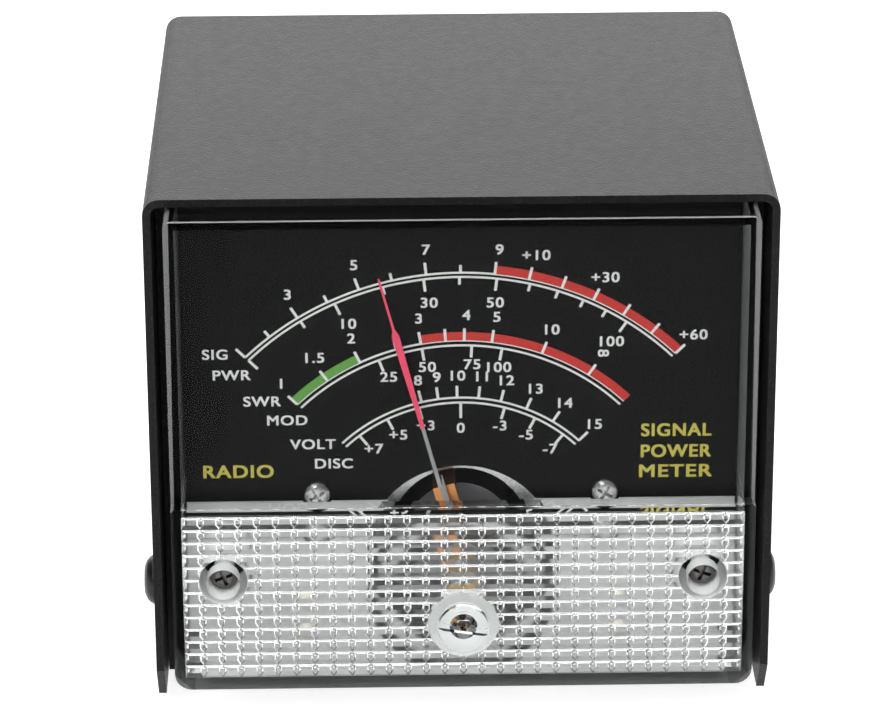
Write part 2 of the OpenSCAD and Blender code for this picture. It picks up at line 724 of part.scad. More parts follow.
module rear_bridge() color("#7d8084")
    translate([0, 0, axis_z]) difference() {
        union() {
            box(-pad_x - 3.5, pad_x + 3.5, rear_bridge_y, rear_bridge_y + bridge_t, -3.5, 3.5);
            both_sides() rod_y(post_r, yoke_y + yoke_l, rear_bridge_y + 0.1, post_x);
            box(-0.5, 0.5, rear_bridge_y - 1.3, rear_bridge_y + 0.1, spring_r + 0.5, spring_r + 1.3);
            box(-0.5, 0.5, rear_bridge_y, rear_bridge_y + bridge_t, 3, spring_r + 1.3);
        }
        rod_y(1.25 + tapped, rear_bridge_y - past, rear_bridge_y + bridge_t + past);
        both_sides() rod_y(1.5 + free / 2, rear_bridge_y - past, rear_bridge_y + bridge_t + past, pad_x);
    }

module rear_hairspring() color("#b9a26a")
    translate([0, 0, axis_z]) hairspring(1.4, spring_r, 4, rear_bridge_y - 1.2);

// Front and rear screws that hold the jewels, each with a cone for the pivot
module jewel_screws() color("#c2994e")
    translate([0, 0, axis_z]) {
        difference() {
            rod_y(1.25, lever_y - 1.4, jewel_y);
            rod_y(0, jewel_y - 0.7, jewel_y + touch, 0, 0, 0.66);
            box(-2, 2, lever_y - 1.4 - past, lever_y - 0.9, -0.2, 0.2);
        }
        difference() {
            rod_y(1.25, rear_bridge_y - 0.9, rear_bridge_y + 3);
            rod_y(0.66, rear_bridge_y - 0.9 - touch, rear_bridge_y - 0.2, 0, 0, 0);
        }
    }

module lever_nut() color("#c2994e")
    nut_y(5, 1.25 + tapped, lever_y - 1, lever_y - 0.1, 0, axis_z);

module core_magnet() color("#55565a")
    rod_y(core_r, yoke_y, yoke_y + yoke_l, 0, axis_z);

module core_spacers() color("#c4c6c8")
    translate([0, 0, axis_z]) intersection() {
        tube_y(yoke_in_r, core_r, yoke_y + 1, yoke_y + yoke_l - 1);
        both_sides() box(core_r / 2, yoke_out_r, yoke_y, yoke_y + yoke_l, -2.6, 2.6);
    }

module yoke_ring() color("#8f9194")
    tube_y(yoke_out_r, yoke_in_r, yoke_y, yoke_y + yoke_l, 0, axis_z);

module movement_screws() color("#a9abad")
    both_sides() screw_y(1.5, 2.8, 1.8, rear_bridge_y, bridge_t + 4, pad_x, axis_z, 15);

// ---- Rear of the case ----

board_screw_r = 1.5;
supply_r = 5.4; // body radius of the lamp supply socket

module at_spacers()
    for (z = [board_low_z + 5, board_low_z + board_h - 5]) both_sides()
        translate([spacer_x, 0, z]) children();

module circuit_board() color("#2e6b3f")
    difference() {
        box(-board_w / 2, board_w / 2, board_y, board_y + board_t, board_low_z, board_low_z + board_h);
        at_spacers() rod_y(board_screw_r + free / 2, board_y - past, board_y + board_t + past);
    }

module board_spacers() color("#c2994e")
    at_spacers() nut_y(5.5, board_screw_r + free / 2, board_y + board_t, back_in_y, 0, 0);

module board_screws() color("#1a1a1c")
    at_spacers() translate([0, back_y, 0]) rotate([0, 0, 180])
        screw_y(board_screw_r, 2.8, 1.8, 0, back_y - board_y + 3, 0, 0, 25);

module board_nuts() color("#c0c2c4")
    at_spacers() nut_y(5.5, board_screw_r + tapped, board_y - 2.4, board_y, 0, 0);

rotor_y = back_in_y - 2.6; // rear end of the trimmer's rotor
rotor_r = 2;

module calibration_trimmer() color("#2456a8")
    difference() {
        box(-3.4, 3.4, board_y + board_t, rotor_y - 0.5, trimmer_z - 3.4, trimmer_z + 3.4);
        rod_y(rotor_r + 0.08, rotor_y - 2.6, rotor_y + past, 0, trimmer_z);
    }

module trimmer_rotor() color("#ecebe4")
    difference() {
        rod_y(rotor_r, rotor_y - 2.5, rotor_y, 0, trimmer_z);
        box(-rotor_r - past, rotor_r + past, rotor_y - 0.8, rotor_y + past,
            trimmer_z - 0.35, trimmer_z + 0.35);
    }

module resistors() color("#c9a978")
    for (dz = [0, 5]) translate([14, board_y - 1.3, board_low_z + 14 + dz]) rotate([0, 90, 0])
        rotate_extrude() polygon([[0, -3.2], [1.3, -3.2], [1.3, -2], [1.05, -1.6], [1.05, 1.6],
            [1.3, 2], [1.3, 3.2], [0, 3.2]]);

module capacitor() color("#1f2f58")
    rod_y(3.1, board_y - 7, board_y, -14, board_low_z + 17);

jack_deep = 14; // depth of the meter socket's bore

module meter_socket() color("#19191a")
    difference() {
        union() {
            box(-socket_x - 4.5, -socket_x + 4.5, back_in_y - 14, back_in_y - 0.02,
                socket_z - 4.5, socket_z + 4.5);
            rod_y(jack_bush_r, back_in_y - 1, rear_y + jack_out, -socket_x, socket_z);
        }
        rod_y(jack_bore_r, rear_y + jack_out - jack_deep, rear_y + jack_out + past, -socket_x, socket_z);
    }

module socket_nut() color("#c8cacc")
    difference() {
        rod_y(jack_bush_r + 1.4, back_y, back_y + 2, -socket_x, socket_z);
        rod_y(jack_bush_r + tapped, back_y - past, back_y + 2 + past, -socket_x, socket_z);
        for (a = [45, 135]) translate([-socket_x, back_y + 1.2, socket_z]) rotate([0, a, 0])
            box(-6, 6, 0, 2, -0.5, 0.5);
    }

supply_deep = 10.5; // depth of the lamp supply socket's opening

module supply_socket() color("#19191a")
    difference() {
        union() {
            rod_y(supply_r, back_y - 14, back_y + 1, socket_x, socket_z);
            rod_y(supply_r + 1.6, back_y, back_y + 2, socket_x, socket_z);
        }
        rod_y(supply_bore_r, back_y + 2 - supply_deep, back_y + 2 + past, socket_x, socket_z);
    }

module supply_pin() color("#d2d3d4")
    rod_y(supply_pin_r, back_y + 2 - supply_deep, back_y + 1, socket_x, socket_z);

module supply_nut() color("#c8cacc")
    nut_y(14, supply_r + tapped, back_in_y - 2.4, back_in_y, socket_x, socket_z);

// Leads from the meter's lugs down and back to the circuit board
module meter_wires() color("#b32020")
    for (s = [-1, 1]) {
        top = [s * 10, tub_y + 0.6, terminal_z + 9.4];
        pad = [s * 8, board_y, board_low_z + board_h - 4];
        wire([top, top + [0, (board_y - tub_y) * 0.5, 0], pad - [0, (board_y - tub_y) * 0.4, 0], pad], 0.7);
    }

// Leads from the lamp supply socket up to the circuit board
module lamp_wires() color("#202020")
    for (s = [-1, 1]) {
        from = [socket_x + s * 2.4, back_y - 14, socket_z + s];
        pad = [s * 3, board_y, board_low_z + 4];
        wire([from, from - [0, 9, 0], pad - [0, 14, 0], pad], 0.6);
    }

cover();
front_panel();
chassis();
rear_panel();
case_screws();
feet();
lens_cover();
lens_screws();
zero_adjuster();
adjuster_ring();
meter_base();
meter_nuts();
meter_washers();
terminal_studs();
terminal_nuts();
solder_lugs();
dial_plate();
dial_screws();
light_reflector();
lamp_boards();
lamps();
pointer_blade();
pointer_stem();
balance_weights();
coil_winding();
coil_former();
pivots();
front_hairspring();
zero_lever();
front_bridge();
rear_bridge();
rear_hairspring();
jewel_screws();
lever_nut();
core_magnet();
core_spacers();
yoke_ring();
movement_screws();
circuit_board();
board_spacers();
board_screws();
board_nuts();
calibration_trimmer();
trimmer_rotor();
resistors();
capacitor();
meter_socket();
socket_nut();
supply_socket();
supply_pin();
supply_nut();
meter_wires();
lamp_wires();
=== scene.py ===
import json
import math

import bmesh
import bpy
from mathutils import Matrix, Vector


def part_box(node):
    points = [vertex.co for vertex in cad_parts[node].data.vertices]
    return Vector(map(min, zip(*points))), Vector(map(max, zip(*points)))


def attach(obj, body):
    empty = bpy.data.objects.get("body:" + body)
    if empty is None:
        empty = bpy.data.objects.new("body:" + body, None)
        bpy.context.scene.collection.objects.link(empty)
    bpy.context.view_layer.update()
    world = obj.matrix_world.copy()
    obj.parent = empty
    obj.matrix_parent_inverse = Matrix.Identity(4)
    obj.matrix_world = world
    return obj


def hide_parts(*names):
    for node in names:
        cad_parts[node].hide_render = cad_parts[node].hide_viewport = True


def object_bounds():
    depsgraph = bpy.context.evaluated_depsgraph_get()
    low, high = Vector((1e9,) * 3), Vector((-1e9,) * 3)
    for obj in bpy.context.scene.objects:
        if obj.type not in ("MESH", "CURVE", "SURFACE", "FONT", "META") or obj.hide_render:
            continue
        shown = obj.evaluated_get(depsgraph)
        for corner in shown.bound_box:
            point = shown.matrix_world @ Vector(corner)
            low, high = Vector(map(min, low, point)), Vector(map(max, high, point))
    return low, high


# The analogue signal, power and SWR meter: finishes, lights and camera, and the two things that
# the CAD model keeps plain, which are the lens's prisms and the dial's print.

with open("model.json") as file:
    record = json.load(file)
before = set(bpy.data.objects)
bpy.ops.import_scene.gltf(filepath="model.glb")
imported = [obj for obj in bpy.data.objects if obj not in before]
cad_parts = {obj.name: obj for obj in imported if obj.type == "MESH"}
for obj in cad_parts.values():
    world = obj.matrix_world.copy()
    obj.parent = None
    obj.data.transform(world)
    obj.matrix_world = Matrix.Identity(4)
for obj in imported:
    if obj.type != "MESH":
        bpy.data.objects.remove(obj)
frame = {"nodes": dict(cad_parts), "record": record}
cad_low, cad_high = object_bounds()
NODES = frame["nodes"]
MM = 0.001


def middle(node):
    """Centre of a CAD node's box."""
    low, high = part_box(node)
    return (low + high) / 2


COVER_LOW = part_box("cover")[0]
LENS_LOW, LENS_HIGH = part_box("lens_cover")
DIAL_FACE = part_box("dial_plate")[0].y
AXIS = middle("core_magnet")          # a point on the pointer's axis
SLOT = {part["node"]: part["material_slot"] for part in frame["record"]["subparts"]}


# ---------------------------------------------------------------- camera

CAMERA_LENS = 173.47                  # mm, on a sensor 36 mm wide
CAMERA_AZIMUTH = math.radians(-0.967)
CAMERA_ELEVATION = math.radians(22.597)
CAMERA_ROLL = math.radians(-0.235)
CAMERA_DISTANCE = 735.57 * MM
CAMERA_AIM = Vector((-4.271 * MM, COVER_LOW.y, COVER_LOW.z + 67.522 * MM))


def make_camera():
    """The photo's own viewpoint: from the front, above the top of the meter."""
    az, el, roll = CAMERA_AZIMUTH, CAMERA_ELEVATION, CAMERA_ROLL
    back = Vector((math.sin(az) * math.cos(el), -math.cos(az) * math.cos(el), math.sin(el)))
    right = Vector((math.cos(az), math.sin(az), 0))
    up = back.cross(right)
    across = right * math.cos(roll) + up * math.sin(roll)
    data = bpy.data.cameras.new("camera")
    data.lens = CAMERA_LENS
    data.sensor_width = 36
    data.sensor_fit = "HORIZONTAL"
    data.clip_start = 0.01
    camera = bpy.data.objects.new("camera", data)
    turn = Matrix((across, back.cross(across), back)).transposed()
    camera.matrix_world = Matrix.Translation(CAMERA_AIM + back * CAMERA_DISTANCE) @ turn.to_4x4()
    bpy.context.collection.objects.link(camera)
    bpy.context.scene.camera = camera


# ---------------------------------------------------------------- materials

WAVE_SCALE = 0.314                    # scale of Blender's wave texture that repeats once a metre


class Finish:
    """One procedural material on the Principled shader. Its textures are in metres."""

    def __init__(self, name, colour, roughness=0.5, **sockets):
        self.material = bpy.data.materials.new(name)
        self.material.use_nodes = True
        self.tree = self.material.node_tree
        self.shader = self.tree.nodes["Principled BSDF"]
        self.shader.inputs["Base Color"].default_value = (*colour, 1)
        self.shader.inputs["Roughness"].default_value = roughness
        for key, value in sockets.items():
            self.shader.inputs[key.replace("_", " ")].default_value = value
        self.place = self.add("ShaderNodeTexCoord").outputs["Object"]

    def add(self, kind, inputs=None, **settings):
        """A new shader node, with its settings and its inputs as values or links."""
        node = self.tree.nodes.new(kind)
        for key, value in settings.items():
            setattr(node, key, value)
        for key, value in (inputs or {}).items():
            if isinstance(value, bpy.types.NodeSocket):
                self.tree.links.new(value, node.inputs[key])
            else:
                node.inputs[key].default_value = value
        return node

    def stretched(self, stretch):
        if stretch is None:
            return self.place
        return self.add("ShaderNodeMapping", {"Vector": self.place, "Scale": stretch}).outputs["Vector"]

    def noise(self, size, detail=3, stretch=None):
        """Soft noise with features of that size, in metres."""
        inputs = {"Vector": self.stretched(stretch), "Scale": 1 / size, "Detail": detail}
        return self.add("ShaderNodeTexNoise", inputs).outputs["Fac"]

    def cells(self, size):
        """Distance to the nearest of many scattered points, that far apart in metres."""
        node = self.add("ShaderNodeTexVoronoi", {"Vector": self.place, "Scale": 1 / size})
        return node.outputs["Distance"]

    def stripes(self, size, axis, distortion=0.0):
        """Stripes across an axis, one every size metres."""
        inputs = {"Vector": self.place, "Scale": WAVE_SCALE / size, "Distortion": distortion}
        node = self.add("ShaderNodeTexWave", inputs, wave_type="BANDS", bands_direction=axis)
        return node.outputs["Fac"]

    def colours(self, factor, *stops):
        """Base colour from a factor, through (position, colour) stops."""
        ramp = self.add("ShaderNodeValToRGB", {"Fac": factor})
        elements = ramp.color_ramp.elements
        while len(elements) < len(stops):
            elements.new(0.5)
        for element, (position, colour) in zip(elements, stops):
            element.position = position
            element.color = (*colour, 1)
        self.tree.links.new(ramp.outputs["Color"], self.shader.inputs["Base Color"])
        return self

    def rough(self, factor, low, high):
        """Roughness between two values, from a factor."""
        spread = self.add("ShaderNodeMapRange", {"Value": factor, "To Min": low, "To Max": high})
        self.tree.links.new(spread.outputs["Result"], self.shader.inputs["Roughness"])
        return self

    def relief(self, height, depth, strength=1.0):
        """Bumps of that depth in metres, from a height between 0 and 1."""
        bump = self.add("ShaderNodeBump", {"Height": height, "Distance": depth, "Strength": strength})
        self.tree.links.new(bump.outputs["Normal"], self.shader.inputs["Normal"])
        return self

    def open_to(self, factor):
        """Makes the finish fully transparent where the factor is 1."""
        out = self.tree.nodes["Material Output"]
        through = self.add("ShaderNodeBsdfTransparent")
        mix = self.add("ShaderNodeMixShader", {0: factor, 1: self.shader.outputs["BSDF"],
                                               2: through.outputs["BSDF"]})
        self.tree.links.new(mix.outputs["Shader"], out.inputs["Surface"])
        return self

    def clear_to_light(self):
        """Lets light straight through, so that a clear cover casts no dark shadow."""
        return self.open_to(self.add("ShaderNodeLightPath").outputs["Is Shadow Ray"])

    def one_sided(self):
        """Leaves the back of the surface out, so that the view from below the floor is open."""
        return self.open_to(self.add("ShaderNodeNewGeometry").outputs["Backfacing"])


def grey(value):
    return (value, value, value)


def shade(colour, share):
    """A colour made darker."""
    return tuple(c * share for c in colour)


def powder_coat(name, base, roughness):
    """Black paint with a fine grain."""
    finish = Finish(name, grey(base), roughness, Specular_IOR_Level=0.16)
    grain = finish.noise(0.45 * MM, 4)
    finish.colours(grain, (0.3, grey(base * 0.6)), (0.55, grey(base)), (0.75, grey(base * 2.2)))
    finish.rough(finish.noise(2 * MM), roughness - 0.06, roughness + 0.08)
    return finish.relief(grain, 0.2 * MM, 0.9)


def moulded(name, colour, roughness=0.4, **sockets):
    """Plastic or rubber out of a mould."""
    finish = Finish(name, colour, roughness, **sockets)
    fine = finish.noise(0.25 * MM)
    wide = finish.noise(9 * MM, 2)
    finish.colours(wide, (0.35, shade(colour, 0.85)), (0.65, colour))
    finish.rough(wide, roughness - 0.05, roughness + 0.07)
    return finish.relief(fine, 0.01 * MM, 0.5)


def metal(name, colour, roughness=0.25, brushed=None):
    """Bare or plated metal. Brushed gives how the fine lines are stretched along X, Y and Z."""
    finish = Finish(name, colour, roughness, Metallic=1.0)
    wear = finish.noise(3 * MM)
    finish.colours(wear, (0.35, shade(colour, 0.8)), (0.6, colour))
    finish.rough(wear, roughness - 0.05, roughness + 0.1)
    lines = finish.noise(0.12 * MM, 2, brushed)
    return finish.relief(lines, 0.006 * MM, 0.5)


def clear_plastic(name, shine, roughness=0.015, clarity=1.0):
    """Clear acrylic. Shine is the share of its real reflection, and less clarity makes it milky. On the
    lens's bosses, lower edge and side walls the milky white is painted light, standing in for the
    brightness of light bent through clear plastic.
    """
    finish = Finish(name, (0.97, 0.985, 0.98), roughness, IOR=1.49, Transmission_Weight=clarity,
                    Specular_Tint=(*grey(shine), 1))
    finish.rough(finish.noise(6 * MM, 2), roughness * 0.5, roughness * 1.5)
    return finish.clear_to_light()


def ink(name, colour, roughness=0.55, **sockets):
    """Printing ink or thin matt paint."""
    finish = Finish(name, colour, roughness, **sockets)
    return finish.colours(finish.noise(0.5 * MM), (0.3, shade(colour, 0.82)), (0.55, colour))


def board_lacquer(name):
    """Green lacquer over the circuit board's copper."""
    finish = moulded(name, (0.03, 0.16, 0.06), 0.35)
    copper = finish.cells(3.2 * MM)
    return finish.colours(copper, (0.28, (0.05, 0.24, 0.09)), (0.34, (0.02, 0.13, 0.05)))


def winding(name):
    """Fine copper wire, wound side by side, darker in the grooves between turns and lighter along each
    turn: painted shade and painted highlight.
    """
    finish = Finish(name, (0.5, 0.16, 0.07), 0.3, Metallic=0.9)
    turn_bumps_and_painted_shade = finish.stripes(0.25 * MM, "Y", 0.4)
    # Painted shade in the grooves between turns and painted highlight along the top of each turn; the
    # same stripes also give the real bumps.
    finish.colours(turn_bumps_and_painted_shade, (0.2, (0.28, 0.08, 0.04)), (0.7, (0.75, 0.32, 0.12)))
    return finish.relief(turn_bumps_and_painted_shade, 0.05 * MM)


def resistor_body(name):
    """Tan lacquer with brown rings."""
    tan = (0.62, 0.47, 0.28)
    finish = moulded(name, tan, 0.45)
    return finish.colours(finish.stripes(1.1 * MM, "X"), (0.12, (0.25, 0.06, 0.03)), (0.2, tan))


def make_finishes():
    """Every finish by name. A CAD node's material slot is the name of its finish."""
    return {
        "cover_paint": powder_coat("cover_paint", 0.009, 0.42),
        "chassis_paint": powder_coat("chassis_paint", 0.009, 0.5),
        "black_screw": metal("black_screw", (0.045, 0.045, 0.048), 0.35),
        "foot_rubber": moulded("foot_rubber", (0.018, 0.018, 0.018), 0.75),
        "clear_plastic": clear_plastic("clear_plastic", 0.06),
        "prism_plastic": clear_plastic("prism_plastic", 0.6, 0.15, 0.96),
        # Painted light: the clear lens's bosses, lower edge and side walls are made partly milky white,
        # standing in for the brightness that light bent through the thick clear plastic gives them.
        "boss_plastic_painted_light": clear_plastic("boss_plastic_painted_light", 1.0, 0.1, 0.2),
        "edge_plastic_painted_light": clear_plastic("edge_plastic_painted_light", 0.5, 0.05, 0.93),
        "side_plastic_painted_light": clear_plastic("side_plastic_painted_light", 0.5, 0.05, 0.84),
        # Painted shade: the lens screws' own bright steel, made darker for the shade of the wells they
        # sit in.
        "screw_steel_painted_shade": metal("screw_steel_painted_shade", (0.13, 0.125, 0.12), 0.3),
        "base_plastic": moulded("base_plastic", (0.012, 0.012, 0.013), 0.5, Specular_IOR_Level=0.2),
        "bright_steel": metal("bright_steel", (0.62, 0.62, 0.63), 0.25, (1, 6, 1)),
        "chrome_screw": metal("chrome_screw", (0.5, 0.5, 0.5), 0.16),
        "brass": metal("brass", (0.72, 0.5, 0.2), 0.25),
        "dial_black": ink("dial_black", grey(0.007), 0.7, Specular_IOR_Level=0.06),
        "white_plastic": moulded("white_plastic", (0.6, 0.6, 0.6), 0.5),
        "lamp_plastic": moulded("lamp_plastic", (0.93, 0.9, 0.76), 0.2, Coat_Weight=0.5),
        "board_green": board_lacquer("board_green"),
        "pointer_red": ink("pointer_red", (0.95, 0.07, 0.16), 0.45),
        "aluminium": metal("aluminium", (0.36, 0.36, 0.37), 0.4, (8, 1, 1)),
        "copper_wire": winding("copper_wire"),
        "magnet_grey": metal("magnet_grey", (0.25, 0.25, 0.27), 0.45),
        "trimmer_blue": moulded("trimmer_blue", (0.02, 0.1, 0.45), 0.35),
        "resistor_tan": resistor_body("resistor_tan"),
        "sleeve_blue": moulded("sleeve_blue", (0.02, 0.045, 0.2), 0.2, Coat_Weight=0.4),
        "socket_black": moulded("socket_black", (0.015, 0.015, 0.016), 0.35),
        "red_wire": moulded("red_wire", (0.5, 0.015, 0.015), 0.35),
        "black_wire": moulded("black_wire", (0.02, 0.02, 0.02), 0.4),
        "white_ink": ink("white_ink", (0.82, 0.82, 0.8)),
        "red_ink": ink("red_ink", (0.6, 0.022, 0.016)),
        "green_ink": ink("green_ink", (0.12, 0.36, 0.055)),
        "yellow_ink": ink("yellow_ink", (0.62, 0.54, 0.09)),
        "floor": Finish("floor", grey(0.6), 0.9, Specular_IOR_Level=0.1, Emission_Strength=0.8,
                        Emission_Color=(1, 1, 1, 1)).one_sided(),
    }


def finish_nodes(finishes):
    """Gives every CAD node its finish by its material slot, and the lens screws their bright steel made
    darker, as painted shade for the wells they sit in.
    """
    for node, obj in NODES.items():
        finish = "screw_steel_painted_shade" if node == "lens_screws" else SLOT[node]
        obj.data.materials.clear()
        obj.data.materials.append(finishes[finish].material)


def soften_feet():
    """Rounds the rims of the rubber feet."""
    feet = NODES["feet"]
    weld = feet.modifiers.new("weld", "WELD")
    weld.merge_threshold = 0.001 * MM
    bevel = feet.modifiers.new("rims", "BEVEL")
    bevel.width = 0.4 * MM
    bevel.segments = 2
    bevel.limit_method = "ANGLE"
    bevel.angle_limit = math.radians(40)


# ---------------------------------------------------------------- mesh helpers

def new_piece(name, mesh, finish, body):
    """A mesh object that rides on a body and wears the finish it is given."""
    obj = bpy.data.objects.new(name, mesh)
    bpy.context.collection.objects.link(obj)
    mesh.materials.clear()
    mesh.materials.append(finish.material)
    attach(obj, body)
    return obj


def mesh_from(name, bm):
    mesh = bpy.data.meshes.new(name)
    bm.to_mesh(mesh)
    bm.free()
    return mesh


def cylinder_y(bm, centre, radius, y0, y1, sides=48):
    """Adds a closed cylinder along Y. centre gives its x and z."""
    made = bmesh.ops.create_cone(bm, cap_ends=True, segments=sides, radius1=radius, radius2=radius,
                                 depth=y1 - y0)
    place = Matrix.Translation((centre.x, (y0 + y1) / 2, centre.z)) @ Matrix.Rotation(math.pi / 2, 4, "X")
    bmesh.ops.transform(bm, matrix=place, verts=made["verts"])


def cut(mesh, tool):
    """The mesh less the tool, as a new mesh."""
    target = bpy.data.objects.new("cut_target", mesh)
    cutter = bpy.data.objects.new("cut_tool", tool)
    for obj in (target, cutter):
        bpy.context.collection.objects.link(obj)
    boolean = target.modifiers.new("cut", "BOOLEAN")
    boolean.operation = "DIFFERENCE"
    boolean.solver = "MANIFOLD"
    boolean.object = cutter
    view = bpy.context.evaluated_depsgraph_get()
    result = bpy.data.meshes.new_from_object(target.evaluated_get(view))
    for obj in (target, cutter):
        bpy.data.objects.remove(obj)
    return result


# ---------------------------------------------------------------- lens

LENS_WALL = 1.8 * MM
BLOCK_WALL = 2.4 * MM                 # thickness of the lower block's front
BLOCK_H = 35 * MM
COLUMNS, ROWS = 30, 13                # prisms behind the lower block's front
PRISM_H = 0.62 * MM                   # height of a prism above its valleys
FLAT_W, FLAT_H = 0.6, 0.42            # shares of a prism's pitch that its flat top takes
DIMPLE_R = 0.85 * MM                  # round dimple in each valley between two columns
DIMPLE_DEEP = 0.3 * MM                # how far its centre lies past the valley
BOSS_R = 4.35 * MM                    # plain round boss of each lens screw
PAD_R = 6.25 * MM                     # plain round pad of the zero adjuster
CLEAR = 0.05 * MM                     # keeps the cutter's faces off the lens's own faces
OPEN = 0.3 * MM                       # how far the cutter runs into the open inside
VALLEY_Y = LENS_LOW.y + BLOCK_WALL - PRISM_H - CLEAR
INSIDE_Y = LENS_LOW.y + BLOCK_WALL + OPEN
PRISM_Y = VALLEY_Y - 0.35 * MM, LENS_LOW.y + 3 * MM  # the prisms and dimples lie between these


def prism_field():
    """The field that the prisms cover: left, right, bottom and top."""
    inset = LENS_WALL + CLEAR
    top = LENS_LOW.z + BLOCK_H - inset
    return LENS_LOW.x + inset, LENS_HIGH.x - inset, LENS_LOW.z + inset, top


def screw_place(side):
    """Centre of the left (-1) or right (1) lens screw."""
    low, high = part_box("lens_screws")
    radius = (high.z - low.z) / 2
    x = high.x - radius if side > 0 else low.x + radius
    return Vector((x, low.y, (low.z + high.z) / 2))


def plain_rounds():
    """The centre and radius of each round place that has no prisms."""
    return ((screw_place(-1), BOSS_R), (screw_place(1), BOSS_R), (middle("zero_adjuster"), PAD_R))


def prism_sheet():
    """A closed slab whose front is the prisms' hills and valleys."""
    left, right, bottom, top = prism_field()
    dx, dz = (right - left) / COLUMNS, (top - bottom) / ROWS
    hx, hz = dx * FLAT_W / 2, dz * FLAT_H / 2
    bm = bmesh.new()
    grid = [[bm.verts.new((left + i * dx, VALLEY_Y, bottom + j * dz)) for i in range(COLUMNS + 1)]
            for j in range(ROWS + 1)]
    for j in range(ROWS):
        for i in range(COLUMNS):
            outer = [grid[j][i], grid[j][i + 1], grid[j + 1][i + 1], grid[j + 1][i]]
            cx, cz = left + (i + 0.5) * dx, bottom + (j + 0.5) * dz
            inner = [bm.verts.new((cx + sx * hx, VALLEY_Y + PRISM_H, cz + sz * hz))
                     for sx, sz in ((-1, -1), (1, -1), (1, 1), (-1, 1))]
            bm.faces.new(inner)
            ring(bm, outer, inner)
    rim = [grid[0][i] for i in range(COLUMNS + 1)]
    rim += [grid[j][COLUMNS] for j in range(1, ROWS + 1)]
    rim += [grid[ROWS][i] for i in range(COLUMNS - 1, -1, -1)]
    rim += [grid[j][0] for j in range(ROWS - 1, 0, -1)]
    back = [bm.verts.new((v.co.x, INSIDE_Y, v.co.z)) for v in rim]
    ring(bm, rim, back)
    bm.faces.new(back)
    bmesh.ops.recalc_face_normals(bm, faces=bm.faces)
    return mesh_from("prism_field", bm)


def ring(bm, outer, inner):
    """Joins two closed loops of as many points."""
    for k in range(len(outer)):
        n = (k + 1) % len(outer)
        bm.faces.new((outer[k], outer[n], inner[n], inner[k]))


def bosses():
    """Cylinders that keep the prisms off the round places."""
    bm = bmesh.new()
    for centre, radius in plain_rounds():
        cylinder_y(bm, centre, radius, VALLEY_Y - MM, INSIDE_Y + MM)
    return mesh_from("bosses", bm)


def dimples():
    """A ball at the middle of each joint between two columns, in every row."""
    left, right, bottom, top = prism_field()
    dx, dz = (right - left) / COLUMNS, (top - bottom) / ROWS
    bm = bmesh.new()
    bmesh.ops.create_uvsphere(bm, u_segments=16, v_segments=8, radius=DIMPLE_R)
    ball = mesh_from("ball", bm)
    bm = bmesh.new()
    for j in range(ROWS):
        for i in range(1, COLUMNS):
            centre = (left + i * dx, VALLEY_Y - DIMPLE_DEEP, bottom + (j + 0.5) * dz)
            place = Matrix.Translation(centre)
            ball.transform(place)
            bm.from_mesh(ball)
            ball.transform(place.inverted())
    return mesh_from("dimples", bm)


def lens_region(point, field, rounds):
    """Which of LENS_FINISHES a face takes, by its centre."""
    left, right, bottom, top = field
    behind_front = point.y > LENS_LOW.y + 2 * CLEAR
    for centre, radius in rounds:
        near = math.hypot(point.x - centre.x, point.z - centre.z) < radius + 2 * CLEAR
        if near and behind_front:
            return 2
    in_field = left < point.x < right and bottom < point.z < top
    if in_field and PRISM_Y[0] < point.y < PRISM_Y[1]:
        return 1
    if point.z < bottom:
        return 3
    return 0 if left <= point.x <= right else 4


LENS_FINISHES = ("clear_plastic", "prism_plastic", "boss_plastic_painted_light", "edge_plastic_painted_light", "side_plastic_painted_light")


def make_lens(finishes):
    """The CAD lens with the prisms cut into the inside of its lower block."""
    bm = bmesh.new()
    bm.from_mesh(NODES["lens_cover"].data)
    bmesh.ops.remove_doubles(bm, verts=bm.verts, dist=0.001 * MM)
    cutter = cut(cut(prism_sheet(), bosses()), dimples())
    mesh = cut(mesh_from("lens_shell", bm), cutter)
    mesh.name = "lens"
    lens = new_piece("prismatic_lens", mesh, finishes["clear_plastic"], "case")
    for name in LENS_FINISHES[1:]:
        mesh.materials.append(finishes[name].material)
    field, rounds = prism_field(), plain_rounds()
    for face in mesh.polygons:
        face.material_index = lens_region(face.center, field, rounds)
    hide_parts("lens_cover")


# ---------------------------------------------------------------- dial print

# Widths, lengths, heights and radii on the dial are in mm, and angles are in degrees from upright.
LINE_W = 0.4
TICK_W = 0.5
LONG, SHORT = 2.3, 1.45               # lengths of a mark
BAND_H = 1.6
DIGIT_H = 1.95
WORD_H = 2.5
SCALE_END = 44.8
SMALL_SCALE_END = 44.4                # the innermost pair of lines is a little shorter
LABEL_SPREAD, LABEL_SHIFT = 0.985, 0.4  # a label's angle, from its mark's angle
CAP = 0.73                            # cap height of the built-in letters, at size 1
LETTER_GAP, LETTER_W = 1.12, 1.12     # spacing and width of the letters, from the built-in ones

# What is printed stands in front of the dial in layers: lines, bands, then marks and letters.
LAYER = 0.02
LINE_LAYER, BAND_LAYER, MARK_LAYER = 1, 1.5, 2
BOLD_STEPS = ((0, 0), (1, 0.6), (-1, 0.6), (1, -0.6), (-1, -0.6))  # shifts that thicken a letter
BOLD_LAYER = 0.002

